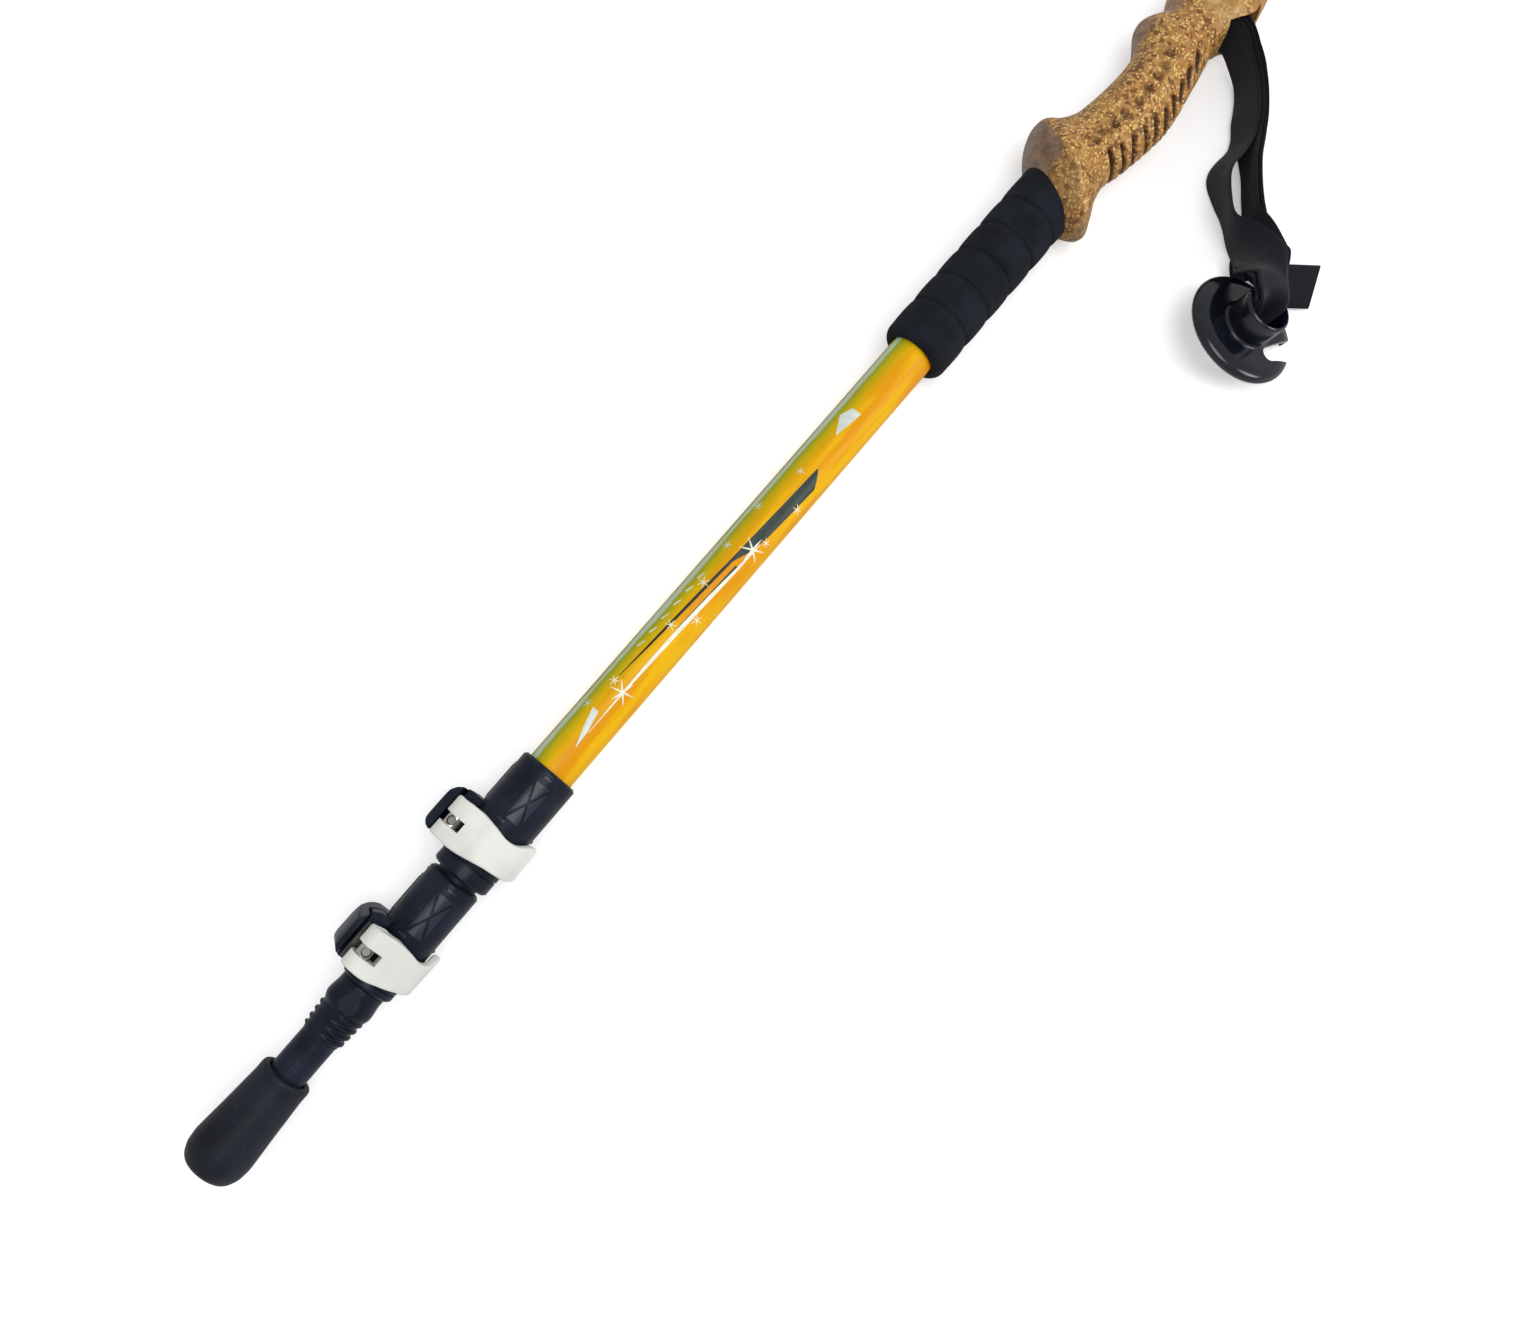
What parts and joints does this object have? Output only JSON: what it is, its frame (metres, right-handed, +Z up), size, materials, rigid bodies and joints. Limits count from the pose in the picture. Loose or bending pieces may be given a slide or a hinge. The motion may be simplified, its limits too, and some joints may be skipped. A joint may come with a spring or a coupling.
{
  "type": "alpenstock",
  "caption": "Telescopic walking pole pushed together: moulded grip, foam sleeve, lever locks, threaded ferrule, rubber foot, webbing wrist strap with a mud basket on it.",
  "frame": {"origin": "centre of the rubber foot's sole, on the pole's axis", "axes": "+X runs along the shaft from the foot to the handle, +Y is the finger side of the grip, +Z is up with the pole lying down"},
  "size_m": [0.6066, 0.1382, 0.0376],
  "materials": {
    "rubber": "matt black moulded rubber",
    "steel": "zinc plated steel",
    "carbide": "ground hard metal",
    "black_moulding": "satin black nylon moulding",
    "white_moulding": "off-white satin moulding",
    "aluminium": "drawn aluminium tube, clear anodised",
    "nickel": "nickel plate",
    "yellow_anodised": "glossy golden yellow lacquer on aluminium tube",
    "foam": "closed-cell EVA foam, blue-black",
    "cork": "moulded cork composite with light speckles",
    "webbing": "black woven polyester webbing",
    "glossy_moulding": "glossy blue-black moulding"
  },
  "bodies": {
    "handle_section": {"cork_grip": "cork", "strap_pin": "steel", "foam_grip": "foam", "upper_tube": "yellow_anodised", "upper_clamp": "black_moulding", "upper_barrel_nut": "nickel", "upper_cam_plate": "steel", "upper_washer": "steel"},
    "upper_lever_body": {"upper_lever": "white_moulding"},
    "upper_screw_body": {"upper_clamp_screw": "steel"},
    "middle_section": {"middle_tube": "aluminium", "middle_guide_bush": "black_moulding", "lower_clamp": "black_moulding", "lower_barrel_nut": "nickel", "lower_cam_plate": "steel", "lower_washer": "steel"},
    "lower_lever_body": {"lower_lever": "white_moulding"},
    "lower_screw_body": {"lower_clamp_screw": "steel"},
    "tip_section": {"lower_tube": "aluminium", "lower_guide_bush": "black_moulding", "tip_ferrule": "black_moulding", "carbide_tip": "carbide"},
    "foot": {"rubber_foot": "rubber", "foot_washer": "steel"},
    "strap": {"wrist_strap": "webbing"},
    "basket": {"mud_basket": "glossy_moulding"}
  },
  "joints": [
    {"name": "middle_section_slide", "type": "slide", "parent": "handle_section", "child": "middle_section", "axis": [-1, 0, 0], "range_m": [0, 0.325]},
    {"name": "tip_section_slide", "type": "slide", "parent": "middle_section", "child": "tip_section", "axis": [-1, 0, 0], "range_m": [0, 0.345]},
    {"name": "upper_lever_hinge", "type": "hinge", "parent": "handle_section", "child": "upper_lever_body", "pos_m": [0.1359, 0.0115, 0.0115], "axis": [-1, 0, 0], "range_deg": [0, 135]},
    {"name": "lower_lever_hinge", "type": "hinge", "parent": "middle_section", "child": "lower_lever_body", "pos_m": [0.0868, 0.00387, 0.01508], "axis": [-1, 0, 0], "range_deg": [0, 135]},
    {"name": "upper_screw_turn", "type": "hinge", "parent": "handle_section", "child": "upper_screw_body", "pos_m": [0.1359, 0.0115, 0], "axis": [0, 0, 1], "continuous": true},
    {"name": "lower_screw_turn", "type": "hinge", "parent": "middle_section", "child": "lower_screw_body", "pos_m": [0.0868, 0.00927, 0.00493], "axis": [0, -0.4695, 0.8829], "continuous": true},
    {"name": "foot_pull_off", "type": "slide", "parent": "tip_section", "child": "foot", "axis": [-1, 0, 0], "range_m": [0, 0.04]},
    {"name": "strap_swing", "type": "hinge", "parent": "handle_section", "child": "strap", "pos_m": [0.5846, -0.003, 0], "axis": [0, 0, 1], "range_deg": [-10, 10]},
    {"name": "basket_spin", "type": "hinge", "parent": "strap", "child": "basket", "pos_m": [0.4735, -0.093, -0.003], "axis": [0.3044, -0.25, 0.9191], "continuous": true}
  ]
}
